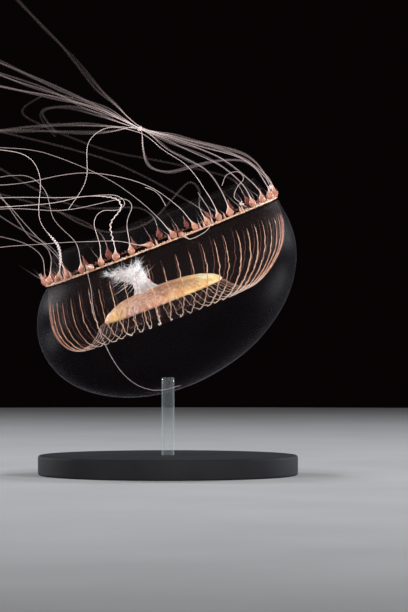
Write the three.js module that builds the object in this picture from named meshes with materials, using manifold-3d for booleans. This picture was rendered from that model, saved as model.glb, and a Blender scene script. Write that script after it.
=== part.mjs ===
// A crystal jelly (Aequorea), life size, on a plain display stand. Millimetres, +Z up, -Y the front.
// The origin is the centre of the underside of the stand's base. The bell lies mouth up, its margin
// leaning up to the right (+X), and the tentacles stream away to the left.
import * as THREE from "three";
import { mergeVertices } from "three/addons/utils/BufferGeometryUtils.js";
import Module from "manifold-3d";

const wasm = await Module();
wasm.setup();

// ---- Driving dimensions ----
const GAP = 0.3; // between pieces that touch
const BELL_CENTRE = new THREE.Vector3(-2.7, 0, 93.4); // centre of the mouth
const BELL_LEAN_DEG = 21.1; // the margin rises to the right by this
const BELL_NOD_DEG = 2.4; // and rises to the back by this
const BELL_RADIUS = 55.2; // at its widest
const WIDEST_DEPTH = 18.4; // below the margin
const DOME_SEMI_HEIGHT = 39.5; // from the widest place to the apex
const APEX_DEPTH = WIDEST_DEPTH + DOME_SEMI_HEIGHT;
const APEX_SHIFT = -10.4; // the swimming bell is skewed: its apex lies this far off the mouth's axis
const SKIRT_TOP = 1.2; // depth of the bell's edge, under the margin ring
const FOLD_DEPTH = 29.4; // the bell cavity's deepest circle
const FOLD_SHIFT = -8.6;
const CUT_DEPTH = 29.15; // the thin cut between the bell's skirt and its dome
const CANALS = 56; // radial canals, each a rib on the cavity's wall
const CANAL_HEIGHT = 0.7;

const RING_RADIUS = 49.3; // the margin's ring canal
const RING_THICK = 0.85;
const BULB_ROOT = 50; // tentacle bulbs grow from this radius
const BULB_LENGTH = 5.5;
const BULB_RADIUS = 1.45;
const MARGIN_TOLERANCE = 0.04; // what the joined bulbs' smallest facets may be smoothed by
const SMALL_BULBS = 60; // places for the small bulbs between the large ones
const SMALL_BULB_LENGTH = 2.6;
const SMALL_BULB_RADIUS = 0.8;
const SMALL_BULB_CLEARANCE_DEG = 3.4; // round the margin, from a large one
const VELUM_FOOT = 48.2; // radius of the collar where it leaves the margin
const VELUM_EDGE = 43.9; // and at its free edge
const VELUM_RISE = 0.4; // where it starts, over the mouth's plane
const VELUM_HEIGHT = 10.8;
const VELUM_THICK = 0.6;

const STOMACH_RADIUS = 25.8;
const STOMACH_FLOOR = 23; // depth of the shelf under the stomach
const STOMACH_TOP = 15.6;
const LIPS_FOOT = -12.9; // the mouth's stalk, off the axis
const LIP_LOBES = 9;

const TENTACLE_SIDES = 4;
const TENTACLE_ROOT_R = 0.5;
const TENTACLE_TIP_R = 0.32;
const TENTACLE_LEAD = 0.5; // the stretch that still runs straight on from the bulb
const TENTACLE_TOLERANCE = 0.3; // between a tentacle's curve and the straight pieces that it is made of
const STRAY_CLEARANCE = 1.4; // between the bell and the tentacle that lies round it

const BASE_RADIUS = 52;
const BASE_THICK = 8;
const BASE_CHAMFER = 1;
const ROD_RADIUS = 2.5;
const ROD_SOCKET = 4; // how deep the rod sits in the base
const ROD_TOP = 39;

// ---- Materials ----
const surface = (color, roughness, opacity = 1) =>
  new THREE.MeshStandardMaterial({ color, roughness, metalness: 0, opacity, transparent: opacity < 1 });
const JELLY = surface(0xdfe6ee, 0.15, 0.3);
const VEIL = surface(0xe4dcda, 0.3, 0.4);
const MARGIN = surface(0xe0a184, 0.5);
const STOMACH = surface(0xe2a56c, 0.55);
const LIPS = surface(0xf4f2f0, 0.6);
const TENTACLE = surface(0xe8dcd6, 0.4);
const STAND_DARK = surface(0x1b1c1e, 0.35);
const STAND_CLEAR = surface(0xdfe8ea, 0.1, 0.5);

// ---- Solids ----
const radians = THREE.MathUtils.degToRad;

/** A closed body through rings of equally many points, in order; an end ring may be a single point. */
function loft(rings) {
  const positions = rings.flat().flatMap((p) => [p.x, p.y, p.z]);
  const starts = rings.map((_, i) => rings.slice(0, i).reduce((n, r) => n + r.length, 0));
  const index = [];
  const fan = (apex, start, n, flip) => {
    for (let j = 0; j < n; j++) {
      const a = start + j;
      const b = start + ((j + 1) % n);
      index.push(...(flip ? [apex, b, a] : [apex, a, b]));
    }
  };
  for (let i = 0; i + 1 < rings.length; i++) {
    const n = Math.max(rings[i].length, rings[i + 1].length);
    if (rings[i].length === 1) fan(starts[i], starts[i + 1], n, false);
    else if (rings[i + 1].length === 1) fan(starts[i + 1], starts[i], n, true);
    else {
      for (let j = 0; j < n; j++) {
        const [a, b] = [starts[i] + j, starts[i] + ((j + 1) % n)];
        const [c, d] = [starts[i + 1] + j, starts[i + 1] + ((j + 1) % n)];
        index.push(a, c, b, b, c, d);
      }
    }
  }
  const first = rings[0];
  const last = rings.at(-1);
  for (let j = 1; j + 1 < first.length; j++) index.push(0, j, j + 1);
  for (let j = 1; j + 1 < last.length; j++) {
    index.push(starts.at(-1), starts.at(-1) + j + 1, starts.at(-1) + j);
  }
  const made = new THREE.BufferGeometry();
  made.setAttribute("position", new THREE.Float32BufferAttribute(positions, 3));
  made.setIndex(index);
  return made;
}

/** A closed geometry as a manifold-3d solid, turned to face out. */
function solid(geometry) {
  const bare = geometry.clone();
  for (const name of ["normal", "uv"]) bare.deleteAttribute(name);
  const merged = mergeVertices(bare, 1e-4);
  const build = (triVerts) =>
    new wasm.Manifold(
      new wasm.Mesh({ numProp: 3, vertProperties: merged.attributes.position.array, triVerts }),
    );
  const faces = new Uint32Array(merged.index.array);
  const made = build(faces);
  return made.volume() < 0 ? build(faces.reverse()) : made;
}

/** A manifold-3d solid as a geometry. */
function geometryOf(body) {
  const { vertProperties, triVerts, numProp } = body.getMesh();
  const positions = new Float32Array((vertProperties.length / numProp) * 3);
  for (let i = 0; i * 3 < positions.length; i++) {
    positions.set(vertProperties.subarray(i * numProp, i * numProp + 3), i * 3);
  }
  const made = new THREE.BufferGeometry();
  made.setAttribute("position", new THREE.BufferAttribute(positions, 3));
  made.setIndex(new THREE.BufferAttribute(triVerts, 1));
  return made;
}

/** A circle of points round the bell's axis: radiusAt may depend on the angle from the front. */
function circle(segments, depth, shift, radiusAt) {
  return Array.from({ length: segments }, (_, j) => {
    const angle = (j / segments) * 2 * Math.PI;
    const r = radiusAt(angle, j);
    return new THREE.Vector3(shift + r * Math.sin(angle), -r * Math.cos(angle), -depth);
  });
}

const onAxis = (shift, depth) => [new THREE.Vector3(shift, 0, -depth)];

// ---- The bell ----
const bellRadius = (depth) =>
  BELL_RADIUS * Math.sqrt(Math.max(0, 1 - ((depth - WIDEST_DEPTH) / DOME_SEMI_HEIGHT) ** 2));
const bellShift = (depth) =>
  APEX_SHIFT * Math.max(0, (depth - SKIRT_TOP) / (APEX_DEPTH - SKIRT_TOP)) ** 0.65;
const wallShift = (depth) => FOLD_SHIFT * Math.max(0, depth / FOLD_DEPTH) ** 1.5;

function exumbrella() {
  const SEGMENTS = 44;
  const depths = [SKIRT_TOP, 6, 13, 21, 29.3, 38, 46, 52, 56.2];
  const rings = depths.map((d) => circle(SEGMENTS, d, bellShift(d), () => bellRadius(d)));
  return loft([onAxis(0, SKIRT_TOP), ...rings, onAxis(APEX_SHIFT, APEX_DEPTH)]);
}

function cavity() {
  const wall = [[48.5, -2], [48.7, SKIRT_TOP], [50.4, 12.5], [48.3, 20.6], [43, 26.8]];
  const ceiling = [[37, FOLD_DEPTH], [31.4, 27.9], [26.4, STOMACH_FLOOR]];
  const ribbed = (r, height) => (_, j) => r - (j % 2 ? height : 0);
  const wallRings = wall.map(([r, d]) =>
    circle(2 * CANALS, d, wallShift(d), ribbed(r, d > SKIRT_TOP ? CANAL_HEIGHT : 0)),
  );
  // On the ceiling the ribs stand up from the lens, so they raise a ring instead of narrowing it.
  const ceilingRings = ceiling.map(([r, d], i) =>
    circle(2 * CANALS, d, FOLD_SHIFT, () => r).map((p, j) => {
      if (j % 2 && i > 0 && i + 1 < ceiling.length) p.z += CANAL_HEIGHT;
      return p;
    }),
  );
  return loft([onAxis(0, -2), ...wallRings, ...ceilingRings, onAxis(FOLD_SHIFT, STOMACH_FLOOR)]);
}

/** A flat slab across the bell, from one depth to another. */
function slab(from, to) {
  const made = new THREE.BoxGeometry(4 * BELL_RADIUS, 4 * BELL_RADIUS, to - from);
  return solid(made.translate(0, 0, -(from + to) / 2));
}

// ---- The stomach and the mouth's lips, on the ceiling ----
function stomach() {
  const SEGMENTS = 28;
  const rows = [
    [STOMACH_RADIUS, 22.7],
    [STOMACH_RADIUS + 0.2, 21.6],
    [22.6, 18.7],
    [15.5, 16.7],
    [7.5, 15.8],
  ];
  const rings = rows.map(([r, d], i) =>
    circle(SEGMENTS, d, FOLD_SHIFT, (_, j) => r * (i < 3 && j % 2 ? 0.975 : 1)),
  );
  return loft([onAxis(FOLD_SHIFT, 22.7), ...rings, onAxis(FOLD_SHIFT, STOMACH_TOP)]);
}

function lips() {
  // radius, depth, how deep the lobes are cut, and how far the stalk has leant over
  const rows = [
    [4.8, 15.2, 0, 0],
    [3.3, 11.5, 0.2, -0.8],
    [5.6, 8.2, 0.9, -2],
    [9.2, 6, 2.4, -3],
    [11.8, 3.4, 3.2, -3.6],
    [10.6, 1.6, 3, -3.6],
    [6.4, 3.6, 1.6, -3.2],
    [2.6, 6.2, 0.4, -2.4],
  ];
  const rings = rows.map(([r, d, lobe, lean]) =>
    circle(3 * LIP_LOBES, d, LIPS_FOOT + lean, (_, j) => r + lobe * (j % 3 ? -0.35 : 0.7)),
  );
  return loft([onAxis(LIPS_FOOT, 15.2), ...rings, onAxis(LIPS_FOOT - 2, 7.4)]);
}

// ---- The velum, a thin collar flared out of the mouth ----
function velum() {
  const SEGMENTS = 40;
  /** The cone inside one face of the collar: closed a little past the collar's two edges by `over`. */
  const cone = (inset, over) => {
    const at = (height) => {
      const share = height / VELUM_HEIGHT;
      const r = THREE.MathUtils.lerp(VELUM_FOOT, VELUM_EDGE, share) - inset;
      return circle(SEGMENTS, -height, 0, () => r);
    };
    const [foot, edge] = [VELUM_RISE - over, VELUM_HEIGHT + over];
    return solid(loft([onAxis(0, -foot), at(foot), at(edge), onAxis(0, -edge)]));
  };
  return geometryOf(cone(0, 0).subtract(cone(VELUM_THICK, 1)));
}

// ---- Tentacles ----
const bell = new THREE.Group();
bell.position.copy(BELL_CENTRE);
bell.rotation.set(radians(BELL_NOD_DEG), -radians(BELL_LEAN_DEG), 0, "YXZ");
bell.updateMatrixWorld(true);

/** A point round the bell's axis, in its own frame, at an angle in degrees from the front to the right. */
const aroundAxis = (angle, radius) =>
  new THREE.Vector3(Math.sin(radians(angle)), -Math.cos(radians(angle)), 0).multiplyScalar(radius);

/** The root of a bulb on the margin, in the frame. */
const marginPoint = (angle) => bell.localToWorld(aroundAxis(angle, BULB_ROOT));

/** Where the bell's front surface, plus a clearance, lies at a place across it and at a depth. */
function onBellFront(across, depth) {
  const r = bellRadius(depth) + STRAY_CLEARANCE;
  const x = THREE.MathUtils.clamp(across - bellShift(depth), -r, r);
  return bell.localToWorld(new THREE.Vector3(across, -Math.sqrt(r * r - x * x), -depth));
}

// Eight tentacles from the right side are drawn together here, in the rows of a close-packed bundle.
const KNOT = new THREE.Vector3(-11.2, -4, 138.2);
const KNOT_PITCH = 1.45;
const knot = (row, side) => ({ row, side });
function inKnot({ row, side }) {
  const up = row * KNOT_PITCH * 0.5;
  return new THREE.Vector3(KNOT.x + 0.43 * up, KNOT.y + side * KNOT_PITCH * 0.87, KNOT.z + 0.9 * up);
}

// Each tentacle: the angle of its bulb on the margin, and the [x, z] places that it passes, as seen from
// the front, up to its tip. From its bulb's own depth it drifts to tipY; a third number holds it to a
// depth on the way. thick is its root beside the others', and stray holds the places, across the bell and
// below its margin, where one lies against the outside of the bell.
const TENTACLES = [
  // The left side: up from the bulbs, over, and away to the left.
  { angle: -73, tipY: -2, lengths: 1, route: [[-46, 86], [-48, 91], [-54, 94], [-68, 114], [-90, 136]] },
  { angle: -60.5, tipY: -17, thick: 1.35,
    route: [[-42, 85], [-43, 91], [-50, 101], [-50.5, 118], [-54, 125.5], [-68, 129.5], [-98, 127]] },
  { angle: -52, tipY: -20, route: [[-41.6, 85], [-44.5, 88], [-53.5, 97.5], [-67, 111.5], [-88, 126]] },
  { angle: -41.6, tipY: -10,
    route: [[-34, 87], [-35.5, 92.5], [-44.5, 102], [-47.5, 112], [-54, 118], [-69, 117.5], [-92, 106]] },
  { angle: -30, tipY: -20,
    route: [[-26, 91.5], [-28.4, 101], [-25, 105], [-19, 105], [-15.8, 107.6], [-18.6, 110.4],
      [-35, 110], [-100, 110]] },
  { angle: -22, tipY: -34, thick: 1.2,
    route: [[-20.3, 91.5], [-22, 99.2], [-18, 105.6], [-19.6, 108.8], [-32, 110], [-43, 107.6],
      [-96, 104]] },
  { angle: -14, tipY: -38,
    route: [[-14.8, 94], [-15.4, 100.5], [-13, 106.4], [-15.6, 109.2], [-22, 108], [-39, 104.8],
      [-68, 105], [-90, 98]] },
  { angle: -4.2, tipY: -42, route: [[-19, 92.6], [-51, 91.4], [-68, 90], [-94, 84]] },
  // The front: two long arcs, one in a loop, one curled up, and one astray round the outside of the bell.
  { angle: 6.7, tipY: -27, route: [[-2, 100.4], [-16, 112.4], [-32, 121], [-49.6, 127.6], [-102, 131]] },
  { angle: 17.2, tipY: -24, route: [[6.4, 104.4], [-7.2, 114], [-28.8, 119.2], [-67, 114.6], [-98, 119]] },
  { angle: 23.5, tipY: -62,
    route: [[12.4, 105.5], [12.9, 112], [9.2, 115.9], [3.6, 110.6, -53], [-6.4, 100], [-20, 96],
      [-33, 99.4], [-42.5, 104.6]] },
  { angle: 9.5, tipY: -51, lengths: 1, route: [[9.2, 93.2, -54.8], [16.4, 97.6], [17, 103], [12, 111.6]] },
  { angle: -36, tipY: -48.5, route: [[-31.5, 84]],
    stray: [[-31.5, 6], [-33.6, 13], [-34.6, 21], [-34.6, 29], [-33, 39.5], [-27.5, 50], [-21, 54.5],
      [-13, 55.6]] },
  // The right side: up, drawn together at the knot, then fanned out to the left.
  { angle: 29.5, tipY: -19,
    route: [[18, 107.6], [7.6, 122.4], [-1.2, 129], knot(-2, -1), [-24, 138.6], [-31.3, 133],
      [-32.4, 118], [-39, 105.5]] },
  { angle: 36, tipY: -18,
    route: [[22.4, 110], [15.6, 120.4], [0.8, 128.8], knot(-1, 0), [-47, 139.4], [-94, 133]] },
  { angle: 51.6, tipY: -17,
    route: [[31, 113.4], [21.6, 122.4], [2.8, 131.8], knot(0, -1), [-22.4, 141.4], [-40.8, 146.4],
      [-50, 145], [-44, 135.6]] },
  { angle: 60.5, tipY: 5,
    route: [[35.6, 114], [21, 126], [0.8, 133.8], knot(1, 0), [-39.2, 149.6], [-92, 160]] },
  { angle: 70, tipY: -15,
    route: [[39.2, 115.6], [32, 125], [10.8, 131.2], knot(2, -1), [-28, 146.2], [-96, 169]] },
  { angle: 80, tipY: 7,
    route: [[41, 116.4], [33, 126.4], [10.8, 133], knot(4, 0), [-25.2, 152], [-41, 170], [-62, 192]] },
  { angle: 93, tipY: 17,
    route: [[40.9, 118.2], [32, 125.2], [20, 126], [0, 121], [-7.8, 123.8], [-10, 130], knot(0, 1),
      [-25.2, 137.4, 0.5], [-86, 139]] },
  { angle: 106, tipY: 17,
    route: [[40.4, 118], [28.8, 127.6], [0.8, 136], knot(2, 1), [-27.2, 147.6], [-94, 177]] },
  // The back.
  { angle: 128, tipY: 25,
    route: [[26.8, 118.8], [-1.2, 126], [-28, 132], [-51, 141], [-60, 146.5], [-51, 153]] },
  { angle: 153, tipY: 28, route: [[12, 108.4], [-23.2, 126.8], [-67, 138.4], [-98, 146]] },
  { angle: 180, tipY: 40, route: [[-6, 104], [-12, 108], [-33, 108], [-48, 112], [-88, 136]] },
  { angle: 207, tipY: 36, route: [[-26, 94], [-31, 100], [-67, 113], [-93, 116]] },
  { angle: 236, tipY: 23, route: [[-43.5, 86], [-47.2, 91], [-60, 99], [-84, 114]] },
  { angle: 262, tipY: 1, lengths: 1, route: [[-50.4, 87], [-56, 92], [-67, 95.5], [-84, 98]] },
];

// Large bulbs whose tentacles are drawn in, between the others.
const BARE_BULBS = [-82, 116, 141, 166, 193, 221, 249, 270];

/** The points of a route, from its root: depth drifts with the length travelled, slowly at first. */
function inDepth(root, route, tipY) {
  const points = [root];
  for (const place of route) {
    const [x, z, y = NaN] = Array.isArray(place) ? place : [];
    points.push(x === undefined ? inKnot(place) : new THREE.Vector3(x, y, z));
  }
  if (Number.isNaN(points.at(-1).y)) points.at(-1).y = tipY;
  const travelled = [0];
  for (let i = 1; i < points.length; i++) {
    const [from, to] = [points[i - 1], points[i]];
    travelled.push(travelled[i - 1] + Math.hypot(to.x - from.x, to.z - from.z));
  }
  const known = points.flatMap((p, i) => (Number.isNaN(p.y) ? [] : [i]));
  for (let k = 0; k + 1 < known.length; k++) {
    const [a, b] = [known[k], known[k + 1]];
    for (let i = a + 1; i < b; i++) {
      const share = (travelled[i] - travelled[a]) / (travelled[b] - travelled[a]);
      points[i].y = THREE.MathUtils.lerp(points[a].y, points[b].y, share * share);
    }
  }
  return points.slice(1);
}

/** The points that a route's shape needs: one is left out only where it lies within this of the rest. */
function thinned(points, within) {
  if (points.length < 3) return points;
  const chord = new THREE.Line3(points[0], points.at(-1));
  const off = points.map((p) => chord.closestPointToPoint(p, true, new THREE.Vector3()).distanceTo(p));
  const worst = off.indexOf(Math.max(...off));
  if (off[worst] < within) return [points[0], points.at(-1)];
  const before = thinned(points.slice(0, worst + 1), within);
  return [...before.slice(0, -1), ...thinned(points.slice(worst), within)];
}

/** A tapered tube along part of a curve, from share a to share b of its length. */
function tube(curve, a, b, rootRadius, tipRadius) {
  const STEPS = 120;
  const fine = Array.from({ length: STEPS + 1 }, (_, i) => curve.getPointAt(a + ((b - a) * i) / STEPS));
  const points = thinned(fine, TENTACLE_TOLERANCE);
  const tangents = points.map((p, i) =>
    new THREE.Vector3()
      .subVectors(points[Math.min(i + 1, points.length - 1)], points[Math.max(i - 1, 0)])
      .normalize(),
  );
  const side = new THREE.Vector3(0, 1, 0).cross(tangents[0]).normalize();
  let travelled = 0;
  const total = curve.getLength() * (b - a);
  const rings = points.map((p, i) => {
    if (i) travelled += p.distanceTo(points[i - 1]);
    side.addScaledVector(tangents[i], -side.dot(tangents[i])).normalize();
    const up = new THREE.Vector3().crossVectors(tangents[i], side);
    const share = a + (b - a) * Math.min(1, travelled / total);
    const r = THREE.MathUtils.lerp(rootRadius, tipRadius, share);
    return Array.from({ length: TENTACLE_SIDES }, (_, j) => {
      const turn = (j / TENTACLE_SIDES) * 2 * Math.PI;
      return p.clone().addScaledVector(side, r * Math.cos(turn)).addScaledVector(up, r * Math.sin(turn));
    });
  });
  return geometryOf(solid(loft(rings)));
}

/** A tentacle's bulb, from the margin to its tip, and the curve that carries on from there. */
function layOut({ angle, route, tipY, stray = [] }) {
  const root = marginPoint(angle);
  const points = [...inDepth(root, route, tipY), ...stray.map(([s, d]) => onBellFront(s, d))];
  const out = points[0].clone().sub(root).normalize();
  const start = root.clone().addScaledVector(out, BULB_LENGTH + GAP);
  const lead = start.clone().addScaledVector(out, TENTACLE_LEAD);
  return { root, out, curve: new THREE.CatmullRomCurve3([start, lead, ...points], false, "centripetal") };
}

/** A cone from a point along a direction, in the bell's own frame. */
function spike(from, direction, length, radius, tipRadius, sides) {
  const cone = new THREE.CylinderGeometry(tipRadius, radius, length, sides);
  cone.translate(0, length / 2, 0);
  cone.applyQuaternion(new THREE.Quaternion().setFromUnitVectors(new THREE.Vector3(0, 1, 0), direction));
  return solid(cone.translate(from.x, from.y, from.z));
}

function margin(layouts) {
  const ring = solid(new THREE.TorusGeometry(RING_RADIUS, RING_THICK, 4, 44));
  const up = new THREE.Vector3(0, 0, 1);
  const turnBack = bell.quaternion.clone().invert();
  const bulb = (from, direction) => spike(from, direction, BULB_LENGTH, BULB_RADIUS, TENTACLE_ROOT_R, 5);
  const bulbs = [
    ...layouts.map(({ root, out }) =>
      bulb(bell.worldToLocal(root.clone()), out.clone().applyQuaternion(turnBack)),
    ),
    ...BARE_BULBS.map((angle) => bulb(aroundAxis(angle, BULB_ROOT), up)),
  ];
  const taken = [...TENTACLES.map((t) => t.angle), ...BARE_BULBS];
  for (let i = 0; i < SMALL_BULBS; i++) {
    const angle = (i / SMALL_BULBS) * 360;
    const away = taken.map((other) => Math.abs(((angle - other + 540) % 360) - 180));
    if (Math.min(...away) < SMALL_BULB_CLEARANCE_DEG) continue;
    bulbs.push(spike(aroundAxis(angle, RING_RADIUS), up, SMALL_BULB_LENGTH, SMALL_BULB_RADIUS, 0, 3));
  }
  return geometryOf(bulbs.reduce((all, each) => all.add(each), ring).simplify(MARGIN_TOLERANCE));
}

// ---- The stand ----
function standBase() {
  const half = [
    [0, 0],
    [BASE_RADIUS - BASE_CHAMFER, 0],
    [BASE_RADIUS, BASE_CHAMFER],
    [BASE_RADIUS, BASE_THICK - BASE_CHAMFER],
    [BASE_RADIUS - BASE_CHAMFER, BASE_THICK],
    [ROD_RADIUS + GAP, BASE_THICK],
    [ROD_RADIUS + GAP, BASE_THICK - ROD_SOCKET],
    [0, BASE_THICK - ROD_SOCKET],
  ].map(([r, z]) => new THREE.Vector2(r, z));
  return new THREE.LatheGeometry(half, 40).rotateX(Math.PI / 2);
}

const ROD_FOOT = BASE_THICK - ROD_SOCKET + GAP;
function rod(radius, from, to) {
  const upright = new THREE.CylinderGeometry(radius, radius, to - from, 16).rotateX(Math.PI / 2);
  return upright.translate(0, 0, (from + to) / 2);
}

// ---- Put together ----
const model = new THREE.Group();

function place(name, geometry, material, parent = model) {
  const mesh = new THREE.Mesh(geometry, material);
  mesh.name = name;
  parent.add(mesh);
}

const jelly = solid(exumbrella()).subtract(solid(cavity()));
const toBell = bell.matrixWorld.clone().invert();
const rodHole = solid(rod(ROD_RADIUS + GAP, 0, ROD_TOP + GAP).applyMatrix4(toBell));
const dome = jelly.intersect(slab(CUT_DEPTH + GAP, APEX_DEPTH + 1)).subtract(rodHole);
// Above the cut the cavity parts the jelly in two: the skirt round it, and the lens inside it.
const [skirt, lens] = jelly
  .intersect(slab(0, CUT_DEPTH))
  .decompose()
  .sort((a, b) => b.boundingBox().max[0] - a.boundingBox().max[0]);
place("bell_skirt", geometryOf(skirt), JELLY, bell);
place("bell_dome", geometryOf(dome), JELLY, bell);
place("bell_lens", geometryOf(lens), JELLY, bell);
place("stomach", geometryOf(solid(stomach())), STOMACH, bell);
place("oral_lips", geometryOf(solid(lips())), LIPS, bell);
place("velum", velum(), VEIL, bell);

const layouts = TENTACLES.map(layOut);
place("margin", margin(layouts), MARGIN, bell);
model.add(bell);

layouts.forEach(({ curve }, i) => {
  const { lengths = 2, thick = 1 } = TENTACLES[i];
  const number = String(i + 1).padStart(2, "0");
  const gap = GAP / curve.getLength();
  for (let k = 0; k < lengths; k++) {
    const from = k / lengths + (k ? gap / 2 : 0);
    const to = (k + 1) / lengths - (k + 1 < lengths ? gap / 2 : 0);
    const name = lengths === 1 ? `tentacle_${number}` : `tentacle_${number}_${["root", "tip"][k]}`;
    place(name, tube(curve, from, to, TENTACLE_ROOT_R * thick, TENTACLE_TIP_R), TENTACLE);
  }
});

place("stand_base", geometryOf(solid(standBase())), STAND_DARK);
place("stand_rod", geometryOf(solid(rod(ROD_RADIUS, ROD_FOOT, ROD_TOP))), STAND_CLEAR);

export default model;
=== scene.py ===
"""A crystal jelly on its display stand: the living looks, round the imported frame.

Blender 4.5, metres, +Z up. The bell is worked out in its own frame, in millimetres: the origin at the
centre of the mouth, +Z out of the mouth, depth measured the other way, and angles in degrees from the
front (-Y) towards the right.
"""

import itertools
import math
import random

import bpy
from mathutils import Matrix, Vector, noise


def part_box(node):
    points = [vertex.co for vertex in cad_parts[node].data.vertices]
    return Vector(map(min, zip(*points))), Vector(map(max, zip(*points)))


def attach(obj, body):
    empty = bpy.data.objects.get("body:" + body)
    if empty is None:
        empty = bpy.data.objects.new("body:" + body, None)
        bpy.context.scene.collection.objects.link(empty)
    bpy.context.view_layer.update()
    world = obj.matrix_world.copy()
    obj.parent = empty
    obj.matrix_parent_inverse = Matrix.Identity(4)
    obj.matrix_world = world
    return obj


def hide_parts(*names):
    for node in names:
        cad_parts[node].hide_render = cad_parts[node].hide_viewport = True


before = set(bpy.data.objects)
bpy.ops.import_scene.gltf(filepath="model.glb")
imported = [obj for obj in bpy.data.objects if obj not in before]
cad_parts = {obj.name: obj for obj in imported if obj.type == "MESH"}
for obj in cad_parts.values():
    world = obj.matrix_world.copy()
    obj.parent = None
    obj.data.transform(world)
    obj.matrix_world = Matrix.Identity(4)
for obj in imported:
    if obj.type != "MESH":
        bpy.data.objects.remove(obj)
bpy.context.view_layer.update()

SEED = 7
random.seed(SEED)
noise.seed_set(SEED)

MM = 0.001

# ---- The bell, as in its solids, in mm ----
BELL_CENTRE = Vector((-2.7, 0, 93.4))
BELL_LEAN = math.radians(21.1)
BELL_NOD = math.radians(2.4)
BELL_RADIUS = 55.1
WIDEST_DEPTH = 18.4
DOME_SEMI_HEIGHT = 39.4
APEX_DEPTH = WIDEST_DEPTH + DOME_SEMI_HEIGHT
APEX_SHIFT = -10.4
RIM_DEPTH = 1.3
FOLD_DEPTH = 29.4  # where the cavity's wall folds over into its ceiling
FOLD_SHIFT = -8.6
# radius and depth down the cavity's wall to the fold, and from there over its ceiling
WALL = [(48.8, RIM_DEPTH), (49.9, 6), (50.4, 11), (49.5, 18), (46.1, 23.8), (41.5, 27.8), (37.2, FOLD_DEPTH)]
CEILING = [(33.2, 28.9), (29.8, 26.6), (26.6, 23.3), (20, 22.6), (0.5, 22.5)]
RING_RADIUS = 49.3
BULB_ROOT = 50
STOMACH_RADIUS = 25.8
STOMACH_EDGE_DEPTH = 22.2
STOMACH_TOP = 15.6
CANALS = 56
CANAL_END = STOMACH_RADIUS - 2.6
CANAL_SWING = 4.8  # degrees that the canals lean to the right by the time they reach the fold
LIPS_FOOT = Vector((-12.9, 0, -15.2))

TO_FRAME = (
    Matrix.Translation(BELL_CENTRE * MM)
    @ Matrix.Rotation(-BELL_LEAN, 4, "Y")
    @ Matrix.Rotation(BELL_NOD, 4, "X")
    @ Matrix.Scale(MM, 4)
)
TO_BELL = TO_FRAME.inverted()
KNOT = TO_BELL @ Vector((-0.0112, -0.004, 0.1382))  # where a bundle of tentacles is drawn together

# ---- The tentacles, in the order of their numbers ----
# The angle of each one's bulb on the margin.
BULB_ANGLES = [
    -73, -60.5, -52, -41.6, -30, -22, -14, -4.2, 6.7, 17.2, 23.5, 9.5, -36, 29.5,
    36, 51.6, 60.5, 70, 80, 93, 106, 128, 153, 180, 207, 236, 262,
]
# How clear each one is, from 0, white and thin, to 1, swollen with water and nearly lost to sight.
CLEARNESS = [
    0.5, 0, 0.45, 0.3, 0.1, 0, 0.2, 0.25, 0.3, 0.2, 0.85, 0.2, 0.35, 0.05,
    0.35, 0.4, 0.3, 0.4, 0.6, 0.82, 0.6, 0.95, 0.9, 0.9, 0.9, 0.65, 0.5,
]
THIN, SWOLLEN = 0.11, 0.5  # radius of the whitest and of the clearest, in mm
TENTACLE_GROUPS = {"left": (1, 8), "front": (9, 13), "right": (14, 21), "back": (22, 27)}
# Those that pass through the knot, and how clear each one becomes beyond it.
BUNDLED = {15: 0.85, 16: 1, 17: 0.6, 18: 0.62, 19: 1, 20: 0.9, 21: 0.72}
# Two are drawn up in a coil near the bulb: the coil's radius, pitch and length, and the thread's own radius.
COILED = {2: (0.36, 1.15, 17, 0.26), 6: (0.26, 1.9, 30, 0.2)}
# The angles of the large bulbs that have no tentacle.
BARE_BULBS = [-82, 116, 141, 166, 193, 221, 249, 270]


# ---- Camera ----
PICTURE_ROWS = 612
ROW_HEIGHT = 0.4  # mm that a row of the picture takes in, at the animal
PICTURE_HEIGHT = PICTURE_ROWS * ROW_HEIGHT * MM
PICTURE_X, PICTURE_Z = 0.0144, 0.0676  # what lies in the middle of the picture
CAMERA_DISTANCE = 1.5
SENSOR = 36

camera = bpy.data.objects.new("camera", bpy.data.cameras.new("camera"))
camera.data.sensor_width = SENSOR
camera.data.lens = SENSOR * CAMERA_DISTANCE / PICTURE_HEIGHT
camera.data.clip_start = 0.05
camera.location = (PICTURE_X, -CAMERA_DISTANCE, PICTURE_Z)
camera.rotation_euler = (math.pi / 2, 0, 0)
bpy.context.collection.objects.link(camera)
bpy.context.scene.camera = camera


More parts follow.
